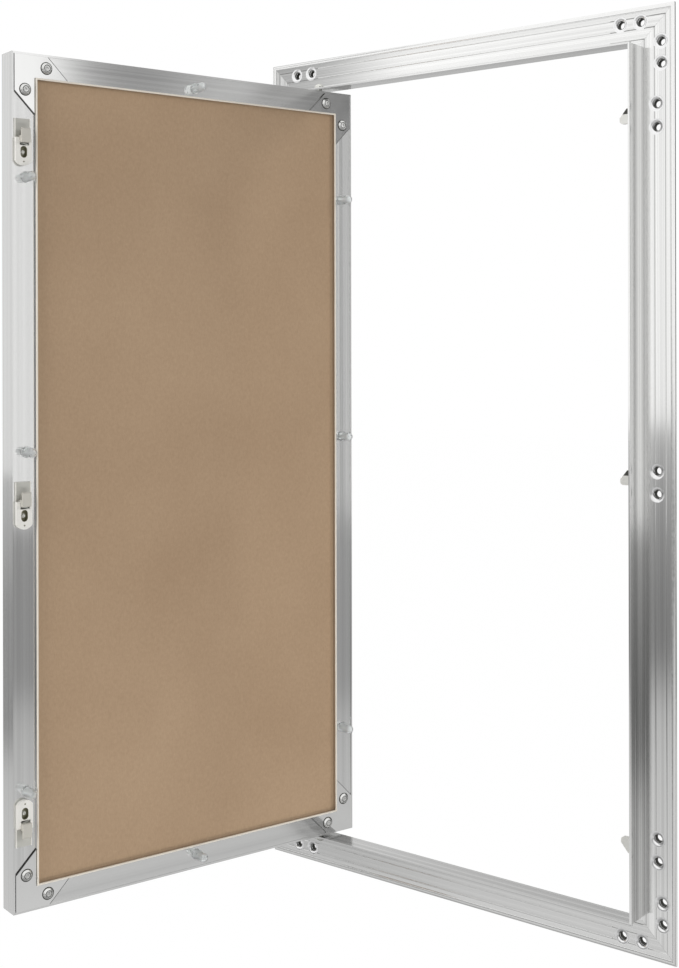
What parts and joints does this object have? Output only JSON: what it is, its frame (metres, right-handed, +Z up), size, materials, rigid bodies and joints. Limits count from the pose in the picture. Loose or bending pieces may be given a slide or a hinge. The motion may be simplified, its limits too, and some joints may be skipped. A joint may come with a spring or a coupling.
{
  "type": "access panel",
  "caption": "Access panel: mitred aluminium frame with a pivoted, plasterboard-filled leaf that closes on sprung touch latches, for reaching services behind a ceiling or wall.",
  "frame": {"origin": "middle of the frame's opening, in the front plane of the frame's flange", "axes": "+X from the hinge side to the latch side, +Z up along the panel's height, -Y towards the room"},
  "size_m": [0.7582, 0.5891, 1.316],
  "materials": {
    "aluminium_profile": "mill-finished extrusion with fine lines",
    "rivet_metal": "bright",
    "zinc_steel": "zinc plated",
    "spring_steel": "plain",
    "white_nylon": "moulded, satin",
    "grey_nylon": "moulded, satin",
    "kraft_board": "brown kraft paper on gypsum",
    "face_board": "ivory paper on gypsum",
    "clear_plastic": "translucent, soft"
  },
  "bodies": {
    "frame": {"frame_top_rail": "aluminium_profile", "frame_bottom_rail": "aluminium_profile", "frame_hinge_jamb": "aluminium_profile", "frame_latch_jamb": "aluminium_profile", "frame_bracket_top_hinge": "aluminium_profile", "frame_bracket_top_latch": "aluminium_profile", "frame_bracket_bottom_hinge": "aluminium_profile", "frame_bracket_bottom_latch": "aluminium_profile", "frame_corner_rivets": "rivet_metal", "striker_top": "zinc_steel", "striker_middle": "zinc_steel", "striker_bottom": "zinc_steel", "striker_rivets": "rivet_metal", "pivot_bush_top": "white_nylon", "pivot_bush_bottom": "white_nylon"},
    "leaf": {"pivot_bolt_top": "zinc_steel", "pivot_bolt_bottom": "zinc_steel", "pivot_block_top": "zinc_steel", "pivot_block_bottom": "zinc_steel", "leaf_top_rail": "aluminium_profile", "leaf_bottom_rail": "aluminium_profile", "leaf_hinge_stile": "aluminium_profile", "leaf_latch_stile": "aluminium_profile", "leaf_plate_top_hinge": "aluminium_profile", "leaf_plate_top_latch": "aluminium_profile", "leaf_plate_bottom_hinge": "aluminium_profile", "leaf_plate_bottom_latch": "aluminium_profile", "leaf_corner_rivets": "rivet_metal", "board_front": "face_board", "board_rear": "kraft_board", "board_screws": "zinc_steel", "screw_caps": "clear_plastic", "latch_housing_top": "white_nylon", "latch_housing_middle": "white_nylon", "latch_housing_bottom": "white_nylon", "latch_screws": "zinc_steel", "latch_spring_top": "spring_steel", "latch_spring_middle": "spring_steel", "latch_spring_bottom": "spring_steel"},
    "catch_top": {"latch_catch_top": "grey_nylon"},
    "catch_middle": {"latch_catch_middle": "grey_nylon"},
    "catch_bottom": {"latch_catch_bottom": "grey_nylon"}
  },
  "joints": [
    {"name": "leaf_swing", "type": "hinge", "parent": "frame", "child": "leaf", "pos_m": [-0.248, -0.0155, 0], "axis": [0, 0, -1], "range_deg": [-104.5, 25.5]},
    {"name": "catch_top_slide", "type": "slide", "parent": "leaf", "child": "catch_top", "axis": [0, 0, 1], "range_m": [0, 0.01], "stiffness_N_per_m": 300, "deforming": ["latch_spring_top"]},
    {"name": "catch_middle_slide", "type": "slide", "parent": "leaf", "child": "catch_middle", "axis": [0, 0, 1], "range_m": [0, 0.01], "stiffness_N_per_m": 300, "deforming": ["latch_spring_middle"]},
    {"name": "catch_bottom_slide", "type": "slide", "parent": "leaf", "child": "catch_bottom", "axis": [0, 0, -1], "range_m": [0, 0.01], "stiffness_N_per_m": 300, "deforming": ["latch_spring_bottom"]}
  ]
}
